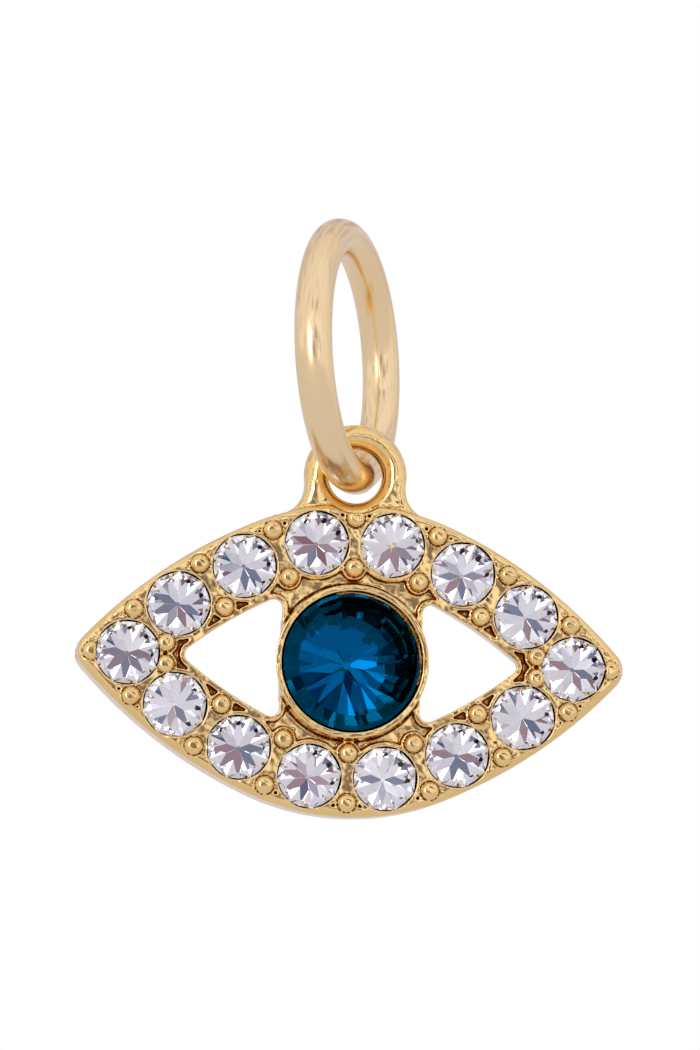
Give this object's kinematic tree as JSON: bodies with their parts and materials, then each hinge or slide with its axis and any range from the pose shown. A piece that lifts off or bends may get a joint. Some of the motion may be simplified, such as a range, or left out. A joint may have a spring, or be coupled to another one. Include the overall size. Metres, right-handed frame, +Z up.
{
  "type": "evil eye pendant",
  "caption": "Small almond-shaped eye pendant with a round blue stone in a bezel, rows of clear stones, two open windows and a jump ring that it swings on.",
  "frame": {"origin": "inside top of the jump ring, where a chain or cord carries it", "axes": "+Z up, the eye hangs down; the eye's stones face -Y; +X to the viewer's right"},
  "size_m": [0.0176, 0.0084, 0.0193],
  "materials": {
    "gold_casting": "polished gold plate on a casting",
    "gold_wire": "polished gold plate on drawn wire",
    "blue_chaton": "blue cut glass with a foiled back",
    "clear_chaton": "clear cut glass with a foiled back"
  },
  "bodies": {
    "ring": {"jump_ring": "gold_wire"},
    "eye": {"eye_frame": "gold_casting", "centre_stone": "blue_chaton", "clear_stone_01": "clear_chaton", "clear_stone_02": "clear_chaton", "clear_stone_03": "clear_chaton", "clear_stone_04": "clear_chaton", "clear_stone_05": "clear_chaton", "clear_stone_06": "clear_chaton", "clear_stone_07": "clear_chaton", "clear_stone_08": "clear_chaton", "clear_stone_09": "clear_chaton", "clear_stone_10": "clear_chaton", "clear_stone_11": "clear_chaton", "clear_stone_12": "clear_chaton", "clear_stone_13": "clear_chaton", "clear_stone_14": "clear_chaton"}
  },
  "joints": [
    {"name": "eye_swing", "type": "hinge", "parent": "ring", "child": "eye", "pos_m": [0.00061, 0.00019, -0.00706], "axis": [0.3577, 0.928, 0.1043], "range_deg": [-100, 100]}
  ]
}
